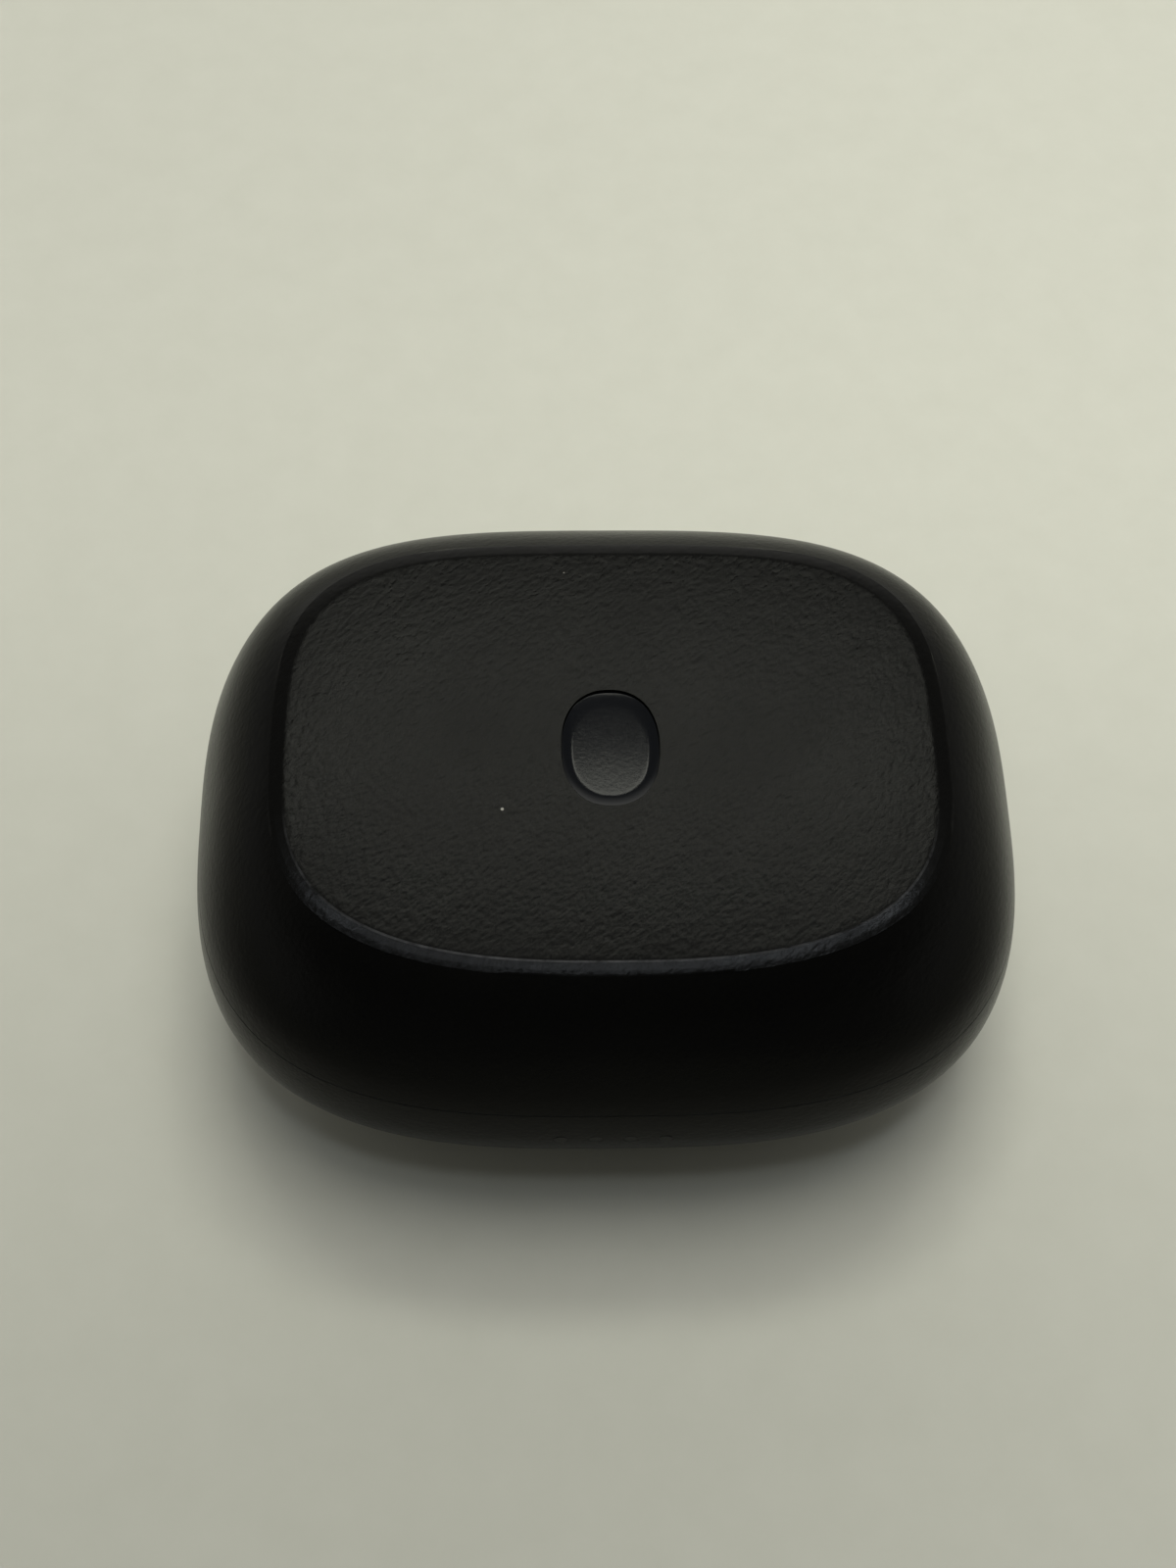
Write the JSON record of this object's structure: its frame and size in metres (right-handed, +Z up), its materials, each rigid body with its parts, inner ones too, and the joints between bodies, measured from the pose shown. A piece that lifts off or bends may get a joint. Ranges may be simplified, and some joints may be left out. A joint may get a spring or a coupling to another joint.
{
  "type": "wireless earbud charging case",
  "caption": "Pebble-shaped black charging case with a flat top, a rear-hinged lid over two earbud wells, sprung charging contacts, a battery and a USB-C inlet.",
  "frame": {"origin": "centre of the case's footprint on the surface it stands on", "axes": "+X to the case's right side to side, +Y to the back where the hinge is, +Z up"},
  "size_m": [0.064, 0.0516, 0.026],
  "materials": {
    "soft_touch_black": "matte rubberised coat with a fine leathery grain",
    "gloss_black": "polished",
    "inner_black": "fine satin texture",
    "bracket_black": "smooth satin",
    "pin_steel": "ground",
    "screw_steel": "plated",
    "magnet_nickel": "nickel plated",
    "battery_foil": "laminated foil",
    "adhesive_foam": "soft foam",
    "lead_red": "silicone insulation",
    "connector_white": "moulded nylon",
    "board_green": "solder mask",
    "chip_black": "moulded epoxy",
    "ferrite_grey": "sintered",
    "capacitor_tan": "fired ceramic",
    "flex_amber": "polyimide film",
    "usb_steel": "drawn sheet",
    "contact_gold": "gold plated",
    "spring_steel": "drawn wire",
    "smoked_light": "smoked clear",
    "lamp_yellow": "phosphor under clear resin"
  },
  "bodies": {
    "base": {"base_shell": "soft_touch_black", "cradle_tray": "inner_black", "base_hinge_bracket": "bracket_black", "base_bracket_screws": "screw_steel", "hinge_pin": "pin_steel", "base_magnet_left": "magnet_nickel", "base_magnet_right": "magnet_nickel", "well_magnets_left": "magnet_nickel", "well_magnets_right": "magnet_nickel", "battery_cell": "battery_foil", "battery_pad": "adhesive_foam", "battery_leads": "lead_red", "battery_plug": "connector_white", "main_board": "board_green", "board_screws": "screw_steel", "charge_chip": "chip_black", "control_chip": "chip_black", "power_inductor": "ferrite_grey", "chip_capacitors": "capacitor_tan", "chip_resistors": "chip_black", "hall_sensor": "chip_black", "usb_shell": "usb_steel", "usb_tongue": "chip_black", "usb_contacts": "contact_gold", "light_board": "board_green", "indicator_lights": "lamp_yellow", "light_guide": "smoked_light", "light_flex": "flex_amber", "contact_board_left": "board_green", "contact_board_right": "board_green", "contact_flex_left": "flex_amber", "contact_flex_right": "flex_amber", "contact_sleeves": "contact_gold", "spring_left_front": "spring_steel", "spring_left_rear": "spring_steel", "spring_right_front": "spring_steel", "spring_right_rear": "spring_steel"},
    "lid": {"lid_shell": "soft_touch_black", "lid_inlay": "gloss_black", "lid_liner": "inner_black", "lid_hinge_bracket": "bracket_black", "lid_bracket_screws": "screw_steel", "lid_magnet_left": "magnet_nickel", "lid_magnet_right": "magnet_nickel", "lid_sensor_magnet": "magnet_nickel"},
    "plunger_left_front": {"plunger_left_front": "contact_gold"},
    "plunger_left_rear": {"plunger_left_rear": "contact_gold"},
    "plunger_right_front": {"plunger_right_front": "contact_gold"},
    "plunger_right_rear": {"plunger_right_rear": "contact_gold"}
  },
  "joints": [
    {"name": "lid_hinge", "type": "hinge", "parent": "base", "child": "lid", "pos_m": [0, 0.02375, 0.016], "axis": [-1, 0, 0], "range_deg": [0, 95]},
    {"name": "contact_left_front", "type": "slide", "parent": "base", "child": "plunger_left_front", "axis": [0, 0, -1], "range_m": [0, 0.0008], "stiffness_N_per_m": 200, "springref_m": -0.0004, "deforming": ["spring_left_front"]},
    {"name": "contact_left_rear", "type": "slide", "parent": "base", "child": "plunger_left_rear", "axis": [0, 0, -1], "range_m": [0, 0.0008], "stiffness_N_per_m": 200, "springref_m": -0.0004, "deforming": ["spring_left_rear"]},
    {"name": "contact_right_front", "type": "slide", "parent": "base", "child": "plunger_right_front", "axis": [0, 0, -1], "range_m": [0, 0.0008], "stiffness_N_per_m": 200, "springref_m": -0.0004, "deforming": ["spring_right_front"]},
    {"name": "contact_right_rear", "type": "slide", "parent": "base", "child": "plunger_right_rear", "axis": [0, 0, -1], "range_m": [0, 0.0008], "stiffness_N_per_m": 200, "springref_m": -0.0004, "deforming": ["spring_right_rear"]}
  ]
}
